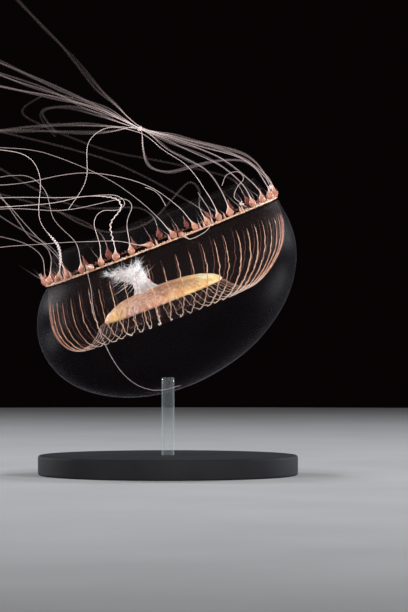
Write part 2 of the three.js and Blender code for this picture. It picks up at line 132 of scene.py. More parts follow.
# ---- Materials ----
class Material:
    """A procedural material, built up node by node round one Principled shader."""

    def __init__(self, name):
        self.made = bpy.data.materials.new(name)
        self.made.use_nodes = True
        self.tree = self.made.node_tree
        self.shader = self.tree.nodes["Principled BSDF"]
        self.place = self.node("ShaderNodeTexCoord").outputs["Object"]

    def node(self, kind, **values):
        """A node whose settings and inputs have the values given."""
        made = self.tree.nodes.new(kind)
        for name, value in values.items():
            if hasattr(made, name):
                setattr(made, name, value)
            else:
                made.inputs[name].default_value = value
        return made

    def link(self, output, target):
        self.tree.links.new(output, target)

    def noise(self, scale, detail=4):
        made = self.node("ShaderNodeTexNoise", Scale=scale, Detail=detail, Roughness=0.55)
        self.link(self.place, made.inputs["Vector"])
        return made.outputs["Fac"]

    def ramp(self, factor, stops):
        """Turns a factor into a grey or a colour, through stops of (where, value)."""
        made = self.node("ShaderNodeValToRGB")
        elements = made.color_ramp.elements
        while len(elements) < len(stops):
            elements.new(0.5)
        for element, (at, colour) in zip(elements, stops):
            element.position = at
            element.color = (*colour, 1) if isinstance(colour, tuple) else (colour, colour, colour, 1)
        self.link(factor, made.inputs["Fac"])
        return made.outputs["Color"]

    def attribute(self, name):
        return self.node("ShaderNodeAttribute", attribute_name=name).outputs["Fac"]

    def facing(self):
        """0 where the surface is met square on, rising to 1 where it is looked along."""
        return self.node("ShaderNodeLayerWeight", Blend=0.5).outputs["Facing"]

    def multiply(self, a, b):
        made = self.node("ShaderNodeMath", operation="MULTIPLY")
        self.link(a, made.inputs[0])
        self.link(b, made.inputs[1])
        return made.outputs[0]

    def mix(self, factor, a, b, blend_type="MIX"):
        made = self.node("ShaderNodeMix", data_type="RGBA", blend_type=blend_type)
        for value, target in ((factor, made.inputs[0]), (a, made.inputs[6]), (b, made.inputs[7])):
            if isinstance(value, (int, float)):
                target.default_value = value
            elif isinstance(value, tuple):
                target.default_value = (*value, 1)
            else:
                self.link(value, target)
        return made.outputs[2]

    def bump(self, height, strength, distance):
        made = self.node("ShaderNodeBump", Strength=strength, Distance=distance)
        self.link(height, made.inputs["Height"])
        self.link(made.outputs["Normal"], self.shader.inputs["Normal"])

    def to(self, **sockets):
        """Links an output, or sets a value, on the shader's own sockets."""
        for name, value in sockets.items():
            target = self.shader.inputs[name.replace("_", " ")]
            if isinstance(value, bpy.types.NodeSocket):
                self.link(value, target)
            else:
                target.default_value = (*value, 1) if isinstance(value, tuple) else value


def jelly_material():
    """Clear jelly: smoky against light, faintly blue against dark, and plainest where it is looked along."""
    m = Material("clear_jelly")
    colour = m.ramp(m.noise(28, 3), [(0.3, (0.012, 0.012, 0.018)), (0.7, (0.032, 0.03, 0.038))])
    edge = m.ramp(m.facing(), [(0.0, 0.06), (0.65, 0.085), (0.9, 0.18), (0.985, 0.6)])
    cloud = m.ramp(m.noise(40), [(0.3, 0.7), (0.75, 1.0)])
    m.to(Base_Color=colour, Roughness=0.34, Specular_IOR_Level=0.05, Alpha=m.multiply(edge, cloud))
    m.to(Sheen_Weight=0.08, Sheen_Roughness=0.3, Sheen_Tint=(0.86, 0.84, 1.0))
    return m.made


def lining_material():
    """The thin tissue that lines the cavity: faint and warm, cloudier along its edges."""
    m = Material("cavity_lining")
    colour = m.ramp(m.noise(60), [(0.3, (0.34, 0.17, 0.12)), (0.7, (0.2, 0.145, 0.14))])
    edge = m.ramp(m.facing(), [(0.0, 0.018), (0.65, 0.03), (0.88, 0.07), (1.0, 0.3)])
    cloud = m.ramp(m.noise(150, 5), [(0.3, 0.5), (0.7, 1.0)])
    m.to(Base_Color=colour, Roughness=0.4, Specular_IOR_Level=0.14, Alpha=m.multiply(edge, cloud))
    return m.made


def tissue_material(name, low, high, grain, alpha, bump, along=None, hidden=1, sheen=0):
    """Moist tissue, mottled between two colours at the grain's scale, and turning to a third towards tone 1.

    hidden is how much of it is left on the side that is turned away, where less light passes back through
    the animal and what does is redder; that side is given painted shade, made fainter and painted redder.
    """
    m = Material(name)
    speckle = m.noise(grain, 5)
    colour = m.ramp(speckle, [(0.36, low), (0.64, high)])
    if along:
        colour = m.mix(m.attribute("tone"), colour, along)
    m.bump(m.noise(grain * 1.6, 3), bump, 0.0003)
    solid = m.ramp(speckle, [(0.3, alpha[0]), (0.7, alpha[1])])
    # painted shade: tissue on the side turned away is made fainter and painted redder
    if hidden < 1:
        far = m.attribute("far")
        solid = m.multiply(solid, m.ramp(far, [(0.0, 1.0), (1.0, hidden)]))
        painted_shade_tint = m.ramp(far, [(0.0, (1.0, 1.0, 1.0)), (1.0, (0.9, 0.5, 0.48))])
        colour = m.mix(1.0, colour, painted_shade_tint, "MULTIPLY")
    m.to(Base_Color=colour, Roughness=0.42, Alpha=solid)
    m.to(Sheen_Weight=sheen, Sheen_Roughness=0.22, Sheen_Tint=(1.0, 0.86, 0.74))
    return m.made


def stomach_material():
    """Granular salmon tissue, here mauve and there orange, with painted highlights, golden towards tone 0.75
    and pale yellow at 1, which also get a faint painted glow.
    """
    m = Material("stomach_tissue")
    speckle = m.noise(460, 6)
    flesh = m.ramp(speckle, [(0.38, (0.84, 0.46, 0.34)), (0.6, (1.0, 0.8, 0.66))])
    hue = m.ramp(m.noise(46, 2), [(0.36, (0.84, 0.74, 0.8)), (0.62, (1.0, 0.8, 0.58))])
    flesh = m.mix(1.0, flesh, hue, "MULTIPLY")
    granules = m.ramp(m.noise(1300, 2), [(0.4, (0.68, 0.57, 0.54)), (0.58, (1.0, 1.0, 1.0))])
    flesh = m.mix(0.75, flesh, granules, "MULTIPLY")
    tone = m.attribute("tone")
    grain = m.noise(210, 3)
    golden = m.ramp(grain, [(0.38, (1.0, 0.52, 0.07)), (0.62, (1.0, 0.8, 0.32))])
    pale = m.ramp(grain, [(0.38, (1.0, 0.86, 0.4)), (0.6, (1.0, 0.98, 0.82))])
    painted_highlight = m.mix(m.ramp(tone, [(0.75, 0.0), (1.0, 1.0)]), golden, pale)
    m.bump(m.noise(620, 3), 0.7, 0.0003)
    thick = m.mix(tone, m.ramp(speckle, [(0.3, 0.66), (0.7, 0.96)]), (1, 1, 1))
    m.to(Base_Color=m.mix(tone, flesh, painted_highlight), Roughness=0.5, Alpha=thick)
    # painted glow: where the painted highlights lie, the stomach gives off a faint light of its own
    m.to(Emission_Color=m.mix(tone, (0, 0, 0), (1.0, 0.8, 0.4)), Emission_Strength=0.16)
    return m.made


def lip_material(name, low, high):
    """White silky tissue with a faint painted glow, more or less solid from low to high, that thins out to
    nothing towards tone 1.
    """
    m = Material(name)
    colour = m.ramp(m.noise(300), [(0.36, (0.8, 0.77, 0.8)), (0.56, (1.0, 1.0, 1.0))])
    patches = m.ramp(m.noise(130, 2), [(0.38, low), (0.6, high)])
    thinning = m.ramp(m.attribute("tone"), [(0.0, 1.0), (0.45, 0.66), (0.8, 0.2), (1.0, 0.03)])
    m.bump(m.noise(700, 3), 0.3, 0.0003)
    m.to(Base_Color=colour, Roughness=0.42, Alpha=m.multiply(patches, thinning))
    # painted glow: a faint white light of its own, to brighten the lips inside the bell
    m.to(Emission_Color=(1.0, 1.0, 1.0), Emission_Strength=0.09)
    return m.made


def tentacle_material():
    """A whitish thread, browner, clearer and softer at its edges towards tone 1."""
    m = Material("tentacle_thread")
    tone = m.attribute("tone")
    colour = m.ramp(m.noise(130, 3), [(0.35, (0.84, 0.66, 0.61)), (0.65, (0.98, 0.88, 0.85))])
    colour = m.mix(tone, colour, (0.66, 0.5, 0.5))
    solid = m.ramp(tone, [(0.0, 1.0), (0.15, 0.66), (0.3, 0.37), (0.6, 0.08), (0.85, 0.024), (1.0, 0.01)])
    m.bump(m.noise(1800, 2), 0.12, 0.0001)
    edge = m.ramp(m.facing(), [(0.3, 1.0), (0.75, 0.5), (0.98, 0.04)])
    edge = m.mix(m.ramp(tone, [(0.0, 0.0), (0.3, 1.0)]), (1, 1, 1), edge)
    m.to(Base_Color=colour, Roughness=0.4, Alpha=m.multiply(solid, edge))
    return m.made


def floor_material():
    """Pale grey studio floor, faintly mottled."""
    m = Material("pale_floor")
    grain = m.noise(14, 6)
    m.to(Base_Color=m.ramp(grain, [(0.35, (0.41, 0.41, 0.42)), (0.65, (0.44, 0.44, 0.45))]))
    m.to(Roughness=m.ramp(grain, [(0.3, 0.78), (0.7, 0.84)]))
    return m.made


def black_acrylic_material():
    """Matt black acrylic with a faint grain."""
    m = Material("matt_black")
    grain = m.noise(700)
    m.bump(grain, 0.05, 0.0002)
    m.to(Base_Color=m.ramp(m.noise(30, 3), [(0.3, (0.012, 0.012, 0.014)), (0.7, (0.02, 0.02, 0.023))]))
    m.to(Roughness=m.ramp(grain, [(0.3, 0.72), (0.7, 0.82)]), Specular_IOR_Level=0.07)
    return m.made


def clear_acrylic_material():
    """Polished clear acrylic, which shows most along its edges."""
    m = Material("clear_acrylic")
    streak = m.noise(90, 2)
    m.to(Base_Color=m.ramp(streak, [(0.3, (0.3, 0.36, 0.38)), (0.7, (0.42, 0.47, 0.48))]), Roughness=0.06)
    m.to(Alpha=m.ramp(m.facing(), [(0.0, 0.08), (0.55, 0.2), (1.0, 0.9)]))
    return m.made


JELLY = jelly_material()
LINING = lining_material()
VEIL = tissue_material(
    "velum_veil", low=(0.12, 0.1, 0.11), high=(0.24, 0.22, 0.23), grain=170,
    alpha=(0.003, 0.009), bump=0.2, along=(0.5, 0.46, 0.46),
)
# the canals' third colour, taken on towards the fold: partly their own paler cream, partly painted highlight
CANAL = tissue_material(
    "canal_tissue", low=(0.5, 0.2, 0.1), high=(0.88, 0.49, 0.3), grain=380,
    alpha=(0.8, 1), bump=0.4, along=(1.0, 0.8, 0.67), hidden=0.16,
)
RING = tissue_material(
    "ring_tissue", low=(0.5, 0.2, 0.1), high=(1.0, 0.76, 0.54), grain=900,
    alpha=(0.9, 1), bump=0.5, hidden=0.16,
)
BULB = tissue_material(
    "bulb_tissue", low=(0.42, 0.15, 0.09), high=(0.74, 0.34, 0.22), grain=560,
    alpha=(0.85, 1), bump=0.4, along=(1.0, 0.84, 0.74), hidden=0.24, sheen=0.5,
)
STOMACH = stomach_material()
LIPS = lip_material("lip_frill", low=0.45, high=1)
FRINGE = lip_material("lip_fringe", low=0.25, high=0.85)
TENTACLE = tentacle_material()


# ---- Making pieces ----
FAR_FROM, FAR_TO = -22, 20  # the y where the side that is turned away begins, and where it is fully so; that side gets painted shade
ASKEW = Vector((0.31, 0.95, 0.2))  # no tube sets out along this direction


class Shape:
    """A mesh that grows ring by ring. Every vertex has a tone from 0 to 1, which its material may read."""

    def __init__(self):
        self.points = []
        self.tones = []
        self.faces = []
        self.material_numbers = []

    def rings(self, rings, tones=None, material=0):
        """Quads between rings of equally many points. A ring has one tone, or one for each of its points."""
        start = len(self.points)
        count = len(rings[0])
        for i, ring in enumerate(rings):
            self.points.extend(ring)
            tone = tones[i] if tones else 0
            self.tones.extend(tone if isinstance(tone, list) else [tone] * count)
        for i in range(len(rings) - 1):
            for j in range(count):
                a = start + i * count + j
                b = start + i * count + (j + 1) % count
                self.faces.append((a, b, b + count, a + count))
                self.material_numbers.append(material)
        return start

    def cap(self, first, count, flip):
        """Closes a ring with a fan round its middle."""
        middle = sum((self.points[first + j] for j in range(count)), Vector()) / count
        self.points.append(middle)
        self.tones.append(self.tones[first])
        for j in range(count):
            a, b = first + j, first + (j + 1) % count
            self.faces.append((len(self.points) - 1, b, a) if flip else (len(self.points) - 1, a, b))
            self.material_numbers.append(0)

    def closed(self, rings, tones=None):
        """Rings whose two ends are closed."""
        count = len(rings[0])
        start = self.rings(rings, tones)
        self.cap(start, count, flip=True)
        self.cap(start + (len(rings) - 1) * count, count, flip=False)

    def tube(self, points, radii, tones, sides):
        """A closed tube along points."""
        before = [points[0], *points[:-1]]
        after = [*points[1:], points[-1]]
        tangents = [(b - a).normalized() for a, b in zip(before, after)]
        side = ASKEW.cross(tangents[0]).normalized()
        rings = []
        for point, radius, tangent in zip(points, radii, tangents):
            side = (side - tangent * side.dot(tangent)).normalized()
            up = tangent.cross(side)
            ring = []
            for j in range(sides):
                turn = 2 * math.pi * j / sides
                ring.append(point + side * (radius * math.cos(turn)) + up * (radius * math.sin(turn)))
            rings.append(ring)
        self.closed(rings, tones)

    def piece(self, name, materials, slot, replaced=(), to_frame=TO_FRAME):
        """The finished object, riding on the model's one body."""
        mesh = bpy.data.meshes.new(name)
        mesh.from_pydata([to_frame @ p for p in self.points], [], self.faces)
        mesh.polygons.foreach_set("use_smooth", [True] * len(self.faces))
        mesh.polygons.foreach_set("material_index", self.material_numbers)
        mesh.attributes.new("tone", "FLOAT", "POINT").data.foreach_set("value", self.tones)
        far = [smooth(FAR_FROM, FAR_TO, p.y) for p in self.points]
        mesh.attributes.new("far", "FLOAT", "POINT").data.foreach_set("value", far)
        for material in materials:
            mesh.materials.append(material)
        made = bpy.data.objects.new(name, mesh)
        bpy.context.collection.objects.link(made)
        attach(made, "root")
        if replaced:
            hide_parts(*replaced)


def spline(points, step):
    """Points every step along a smooth curve through the given ones."""
    ends = [points[0] * 2 - points[1], *points, points[-1] * 2 - points[-2]]
    made = [points[0]]
    for p0, p1, p2, p3 in zip(ends, ends[1:], ends[2:], ends[3:]):
        knots = [0.0]
        for a, b in ((p0, p1), (p1, p2), (p2, p3)):
            knots.append(knots[-1] + max((b - a).length, 1e-6) ** 0.5)
        t0, t1, t2, t3 = knots
        count = max(1, round((p2 - p1).length / step))
        for i in range(1, count + 1):
            t = t1 + (t2 - t1) * i / count
            a1 = p0 * ((t1 - t) / (t1 - t0)) + p1 * ((t - t0) / (t1 - t0))
            a2 = p1 * ((t2 - t) / (t2 - t1)) + p2 * ((t - t1) / (t2 - t1))
            a3 = p2 * ((t3 - t) / (t3 - t2)) + p3 * ((t - t2) / (t3 - t2))
            b1 = a1 * ((t2 - t) / (t2 - t0)) + a2 * ((t - t0) / (t2 - t0))
            b2 = a2 * ((t3 - t) / (t3 - t1)) + a3 * ((t - t1) / (t3 - t1))
            made.append(b1 * ((t2 - t) / (t2 - t1)) + b2 * ((t - t1) / (t2 - t1)))
    return made


def distances(points):
    """How far along the line each of its points lies."""
    made = [0.0]
    for a, b in zip(points, points[1:]):
        made.append(made[-1] + (b - a).length)
    return made


def around(angle, radius, depth=0, shift=0):
    """The point at an angle and a radius round an axis that is shifted to the side."""
    turn = math.radians(angle)
    return Vector((shift + radius * math.sin(turn), -radius * math.cos(turn), -depth))


def degrees_apart(a, b):
    """From b round to a, between -180 and 180."""
    return (a - b + 540) % 360 - 180


def lerp(a, b, t):
    return a + (b - a) * t


def smooth(a, b, x):
    """Rises gently from 0 at a to 1 at b."""
    t = min(1, max(0, (x - a) / (b - a)))
    return t * t * (3 - 2 * t)


# ---- The bell ----
def bell_radius(depth):
    return BELL_RADIUS * math.sqrt(max(0, 1 - ((depth - WIDEST_DEPTH) / DOME_SEMI_HEIGHT) ** 2))


def bell_shift(depth):
    return APEX_SHIFT * max(0, (depth - RIM_DEPTH) / (APEX_DEPTH - RIM_DEPTH)) ** 0.65


def wall_shift(depth):
    return FOLD_SHIFT * max(0, depth / FOLD_DEPTH) ** 1.5


def lining_profile(step):
    """(radius, depth, shift) down the wall and over the ceiling."""
    wall = [Vector((r, d, wall_shift(d))) for r, d in WALL]
    ceiling = [Vector((r, d, FOLD_SHIFT)) for r, d in CEILING]
    return spline([*wall, *ceiling], step)


def bell():
    """The jelly's outside, and the cavity's lining, which meets it at the rim."""
    segments, rows = 144, 46
    last_depth = APEX_DEPTH - 0.02
    ripple = 0.12
    angles = [360 * j / segments for j in range(segments)]
    outer = []
    for i in range(rows + 1):
        depth = RIM_DEPTH + (last_depth - RIM_DEPTH) * math.sin(math.pi / 2 * i / rows)
        outer.append([around(a, bell_radius(depth), depth, bell_shift(depth)) for a in angles])
    for row in outer[2:]:
        for p in row:
            p += p.normalized() * ripple * (noise.noise(p * 0.07) - 0.4)
    shape = Shape()
    start = shape.rings(outer[::-1])
    shape.cap(start, segments, flip=True)
    inner = [[around(a, r, d, s) for a in angles] for r, d, s in lining_profile(1.6)]
    start = shape.rings([outer[0], *inner], material=1)
    shape.cap(start + len(inner) * segments, segments, flip=False)
    shape.piece("bell_jelly", [JELLY, LINING], "jelly", ("bell_skirt", "bell_dome", "bell_lens"))


def canal(shape, profile, step, angle):
    """One radial canal, with the ruffled gonad along it, from under the margin to the stomach."""
    phase = random.uniform(0, 60)
    front, left = math.cos(math.radians(angle)), -math.sin(math.radians(angle))
    heft = random.uniform(0.65, 1.2)
    heft *= lerp(0.6, 1, smooth(-0.5, 0.3, front)) * lerp(1, 0.7, smooth(0.1, 0.9, left))
    start = random.uniform(4.5, 7)
    fold = max(range(len(profile)), key=lambda i: profile[i].y)
    points, radii, tones = [], [], []
    for i, (r, d, s) in enumerate(profile):
        along = i * step
        if along < start - 0.5:
            continue
        ripe = smooth(start, start + 14, along)
        kink = noise.noise(Vector((along * 0.34, phase, 0)))
        kink += 0.6 * noise.noise(Vector((along * 1.1, phase, 9)))
        swing = CANAL_SWING * front * min(1, d / FOLD_DEPTH) + math.degrees(0.8 * ripe * kink / r)
        lift = 0.3 + 0.2 * ripe
        points.append(around(angle + swing, r - lift, d - (lift if i > fold else 0), s))
        knots = 1 + 0.55 * noise.noise(Vector((along * 0.75, phase, 3)))
        on_wall = 0.03 + 0.08 * smooth(start, start + 2, along) + 0.11 * ripe
        on_ceiling = 0.065 if front > 0 else 0.03
        radii.append(heft * knots * lerp(on_wall, on_ceiling, smooth(fold - 1, fold + 9, i)))
        # tone: paler cream towards the fold and over the ceiling, partly the gonads' own colour and partly
        # painted highlight
        tones.append(0.1 + 0.75 * smooth(fold - 30, fold - 4, i))
    shape.tube(points, radii, tones, sides=5)


def canals():
    shape = Shape()
    step = 0.4
    profile = [p for p in lining_profile(step) if p.x > CANAL_END]
    for k in range(CANALS):
        canal(shape, profile, step, (k + 0.5) * 360 / CANALS + random.uniform(-0.7, 0.7))
    shape.piece("radial_canals", [CANAL], "margin")


# ---- The margin ----
def bulb_profile(t):
    """Radius of a large bulb, from its root at 0 to where the tentacle leaves it at 1."""
    return 0.13 + 1.28 * math.exp(-(((t - 0.27) / 0.3) ** 2))


def ring_middles(mesh):
    """The middle of each ring of a four-sided tube's corners, from one end to the other, in mm."""
    key = [tuple(round(c / MM, 3) for c in v.co) for v in mesh.vertices]
    faces = [{key[v] for v in polygon.vertices} for polygon in mesh.polygons]
    joined = {}
    for face in faces:
        for p in face:
            joined.setdefault(p, set()).update(face)

    def layers(start):
        seen, row, rows = set(start), set(start), []
        while row:
            rows.append([Vector(p) for p in sorted(row)])
            row = {q for p in row for q in joined[p]} - seen
            seen |= row
        return rows

    # From the flat cap at either end, and only from there, the corners peel off ring by ring.
    peeled = [layers(a | b) for a, b in itertools.combinations(faces, 2) if len(a & b) == 2]
    peeled = [rows for rows in peeled if all(len(row) == 4 for row in rows)]
    rings = min(peeled, key=lambda rows: max((p - rows[0][0]).length for p in rows[0]))
    return [sum(ring, Vector()) / 4 for ring in rings]


def off_root(point):
    """How far a point is from the circle on which the tentacles' bulbs stand, roughly."""
    return abs(Vector((point.x, point.y)).length - BULB_ROOT) + abs(point.z)


def centreline(nodes):
    """The middle line of a tentacle's solids, from its bulb outwards, in the bell's frame."""
    line = []
    for node in nodes:
        middles = [TO_BELL @ (p * MM) for p in ring_middles(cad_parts[node].data)]
        if line:
            turned = (middles[0] - line[-1]).length > (middles[-1] - line[-1]).length
        else:
            turned = off_root(middles[0]) > off_root(middles[-1])
        line += middles[::-1] if turned else middles
    return line


def tentacle_nodes(number):
    stem = f"tentacle_{number:02d}"
    return [name for name in (stem, f"{stem}_root", f"{stem}_tip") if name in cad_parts]


LINES = {n: centreline(tentacle_nodes(n)) for n in range(1, len(BULB_ANGLES) + 1)}


def bulb(shape, root, start, away, size):
    """One large bulb, curving from the margin into its tentacle, which starts there and leads away."""
    steps = 24
    hold = root + Vector((0, 0, 1.6))
    pull = start - away * 1.6
    points, radii, tones = [], [], []
    for i in range(steps + 1):
        t = i / steps
        p = root * (1 - t) ** 3 + hold * 3 * t * (1 - t) ** 2 + pull * 3 * t * t * (1 - t)
        points.append(p + start * t**3)
        radii.append(lerp(size, 1, smooth(0.6, 1, t)) * bulb_profile(t) * (1 + 0.06 * noise.noise(p * 1.3)))
        tones.append(0.85 * smooth(0.3, 0.95, t))
    shape.tube(points, radii, tones, sides=16)


def large_bulbs():
    shape = Shape()
    root_radius, root_depth = BULB_ROOT - 0.5, -0.3
    for number, angle in enumerate(BULB_ANGLES, 1):
        line = LINES[number]
        away = (line[1] - line[0]).normalized()
        bulb(shape, around(angle, root_radius, root_depth), line[0], away, random.uniform(0.8, 1.08))
    for angle in BARE_BULBS:
        root = around(angle, root_radius, root_depth)
        tip = root + Vector((0, 0, 5.2)) + around(angle, random.uniform(-0.8, 0.8))
        bulb(shape, root, tip, Vector((0, 0, 1)), random.uniform(0.7, 1))
    shape.piece("tentacle_bulbs", [BULB], "margin")


def margin_ring():
    """The ring canal, knobbly, and thicker in front."""
    segments, sides = 720, 10
    rings = []
    for j in range(segments):
        angle = 360 * j / segments
        centre = around(angle, RING_RADIUS)
        front = smooth(-0.3, 0.3, math.cos(math.radians(angle)))
        knobs = 1 + 0.4 * noise.noise(centre * 1.1) + 0.9 * noise.noise(centre * 2.3)
        swell = lerp(0.12, 0.33, front) * knobs
        ring = []
        for i in range(sides):
            turn = 2 * math.pi * i / sides
            ring.append(around(angle, RING_RADIUS + swell * math.cos(turn), -swell * 1.1 * math.sin(turn)))
        rings.append(ring)
    shape = Shape()
    shape.rings([*rings, rings[0]])
    shape.piece("margin_ring", [RING], "margin", ("margin",))


YOUNG_HEIGHTS = (0.3, 0.4, 0.5, 0.7, 2.3)
TALL = 1  # the young bulbs above this height have the shape of a cone, and a thread on top


def young_bulbs():
    """The angle and height of each bulb still growing, between the large ones."""
    made = []
    angle = 0.0
    while angle < 360:
        angle += random.uniform(1.1, 2.2)
        if min(abs(degrees_apart(angle, other)) for other in BULB_ANGLES + BARE_BULBS) > 1.7:
            made.append((angle, random.choice(YOUNG_HEIGHTS)))
    return made


YOUNG = young_bulbs()


def small_bulbs():
    shape = Shape()
    steps = 8
    shares = [i / steps for i in range(steps + 1)]
    for angle, height in YOUNG:
        root = around(angle, RING_RADIUS + 0.1, -0.3)
        points = [root + Vector((0, 0, height * t)) + around(angle, 0.25 * t) for t in shares]
        if height > TALL:
            radii = [0.08 + 0.55 * (1 - t) ** 1.1 for t in shares]
        else:
            radii = [(0.24 + 0.2 * height) * math.sqrt(1.02 - t**1.7) for t in shares]
        shape.tube(points, radii, [0.6 * t for t in shares], sides=8)
    shape.piece("small_bulbs", [BULB], "margin")


# ---- The velum ----
VELUM_FOOT, VELUM_EDGE = 47.9, 43.6  # its outer radius at the foot, and at the free edge
VELUM_RISE, VELUM_TOP = 0.1, 10.5  # heights above the margin
VELUM_THICKNESS = 0.24


def velum_ring(share, inset):
    """One ring of the collar, at a share of its height."""
    segments = 240
    ring = []
    for j in range(segments):
        angle = 360 * j / segments
        wave = 0.35 * math.sin(math.radians(angle * 17)) + 0.3 * noise.noise(around(angle, 2.2))
        r = lerp(VELUM_FOOT, VELUM_EDGE, share) - inset + share * wave * 0.5
        ring.append(around(angle, r, -lerp(VELUM_RISE, VELUM_TOP, share)))
    return ring


def velum():
    """A thin standing collar inside the margin, wavier and a little cloudier towards its free edge."""
    rows = 12
    shares = [i / rows for i in range(rows + 1)]
    out = [velum_ring(share, 0) for share in shares]
    inner = [velum_ring(share, VELUM_THICKNESS) for share in shares]
    tones = [smooth(0.8, 1, share) for share in shares]
    shape = Shape()
    shape.rings([*out, *inner[::-1], out[0]], [*tones, *tones[::-1], tones[0]])
    shape.piece("velum_collar", [VEIL], "veil", ("velum",))


# ---- The stomach ----
# radius and depth, over the top from the middle to the edge, and back underneath
STOMACH_ROWS = [
    (0.3, STOMACH_TOP), (7.5, 15.9), (15.5, 16.8), (20.5, 18.1), (23.6, 19.6), (25.4, 21.2),
    (STOMACH_RADIUS, STOMACH_EDGE_DEPTH), (25.2, 22.8), (20, 22.4), (0.3, 22.4),
]
# The yellow patches of painted highlight: the angle of each one's middle, its half width in degrees, the
# share of the stomach's radius where it begins, and its strength, where more is paler.
PAINTED_HIGHLIGHTS = [(76, 34, 0.36, 1.15), (34, 22, 0.76, 0.8), (-100, 26, 0.62, 0.8), (-52, 12, 0.72, 0.9)]
# The blunt end: its angle, its half width in degrees, and how far it is pushed in, in mm.
BLUNT_END, BLUNT_SPREAD, BLUNT_DEPTH = -98, 34, 2.2


def bell_curve(angle, middle, spread):
    return math.exp(-((degrees_apart(angle, middle) / spread) ** 2))


def painted_highlight_tone(angle, r, d):
    """The stomach's tone of painted highlight: 0 where it is salmon, 0.75 where it is painted golden and 1
    where it is painted pale yellow.
    """
    share = r / STOMACH_RADIUS
    strongest = max(
        strength * smooth(inner, inner + 0.3, share) * bell_curve(angle, middle, spread)
        for middle, spread, inner, strength in PAINTED_HIGHLIGHTS
    )
    return strongest * (0.75 + 0.5 * noise.noise(around(angle, r, d) * 0.3))


def stomach_point(angle, r, d):
    """A point of the lumpy stomach, whose edge is scalloped where the canals leave it."""
    rim = smooth(0.75, 1, r / STOMACH_RADIUS)
    canal_turn = (angle - CANAL_SWING * math.cos(math.radians(angle))) * CANALS + 180
    scallop = rim * (0.7 * math.cos(math.radians(canal_turn)) - 0.3)
    blunt = BLUNT_DEPTH * smooth(0.5, 1, r / STOMACH_RADIUS) * bell_curve(angle, BLUNT_END, BLUNT_SPREAD)
    if d < STOMACH_EDGE_DEPTH:
        place = around(angle, r, d)
        lump = noise.noise(place * 0.42) * 0.5 + noise.noise(place * 1.2) * 0.22
        d += 0.25 - lump * 0.6
    return around(angle, r + scallop - blunt, d, FOLD_SHIFT)


def stomach():
    segments = 224
    angles = [360 * j / segments for j in range(segments)]
    rings, tones = [], []
    for r, d, _ in spline([Vector((r, d, 0)) for r, d in STOMACH_ROWS], 0.8):
        rings.append([stomach_point(angle, r, d) for angle in angles])
        tones.append([painted_highlight_tone(angle, r, d) for angle in angles])
    shape = Shape()
    shape.closed(rings, tones)
    shape.piece("stomach_pouch", [STOMACH], "stomach", ("stomach",))


# ---- The lips ----
LOBES = 11
STREAMERS = 18
# radius, depth and lean to the side, up the mouth's stalk and then out along each lobe
STALK = [
    (5.6, 16.6, 0.6), (4.3, 15.2, 0.2), (3.5, 13.4, -0.3),
    (3.1, 11.4, -0.8), (3.2, 9.6, -1.5), (2.2, 8.6, -1.9),
]
LOBE_PATH = [
    (2.2, 13, -0.4), (2.7, 10.8, -0.9), (3.7, 8.8, -1.7),
    (5.2, 7, -2.3), (7, 5.6, -2.8), (8.8, 4.4, -3.1),
]
ACROSS = [-1, -0.8, -0.5, -0.2, 0.2, 0.5, 0.8, 1]  # places across a lobe, from one edge to the other
LOBE_THICKNESS = 0.1
STALK_STEP = 4  # degrees between the points of one of the stalk's rings


def thread(shape, start, direction, length, radius, bend, tones):
    """A fine thread that wavers and tapers as it goes, from the first of two tones to the second."""
    steps = 7
    points = [start]
    for _ in range(steps):
        waver = noise.noise_vector(points[-1] * 0.55 + start * 0.1) * bend
        points.append(points[-1] + (direction + waver).normalized() * (length / steps))
    shares = [i / steps for i in range(steps + 1)]
    radii = [lerp(radius, radius * 0.35, t) for t in shares]
    shape.tube(points, radii, [lerp(*tones, t) for t in shares], sides=4)


def stalk(frill):
    """The mouth's fluted stalk, clearest at its foot."""
    angles = range(0, 360, STALK_STEP)
    rings, tones = [], []
    for r, d, lean in spline([Vector(row) for row in STALK], 0.5):
        ring = []
        for angle in angles:
            flute = 0.09 * math.sin(math.radians(LOBES * angle)) + 0.12 * noise.noise(around(angle, r, d))
            ring.append(around(angle, r * (1 + flute), d, LIPS_FOOT.x + lean))
        rings.append(ring)
        tones.append(0.6 * smooth(10, 15, d))
    frill.closed(rings, tones)


def fringe_threads(fringe, row, share, out, aside):
    """The threads that grow on one row of a lobe: on both its edges, and here and there on its face."""
    if share > 0.2:
        for edge, outward in ((row[0], -aside), (row[-1], aside)):
            way = outward * random.uniform(0.3, 1) + out * random.uniform(-0.2, 0.9)
            way += Vector((0, 0, random.uniform(-0.3, 0.9)))
            thread(fringe, edge, way, random.uniform(0.8, 2.4), 0.06, 0.7, (0.15, 0.95))
    if share > 0.3 and random.choice((False, True, True)):
        way = out * random.uniform(0.1, 1) + aside * random.uniform(-0.8, 0.8)
        way += Vector((random.uniform(-0.6, 0.1), 0, random.uniform(-0.2, 0.8)))
        thread(fringe, random.choice(row), way, random.uniform(2.5, 6), 0.07, 0.5, (0.25, 1))


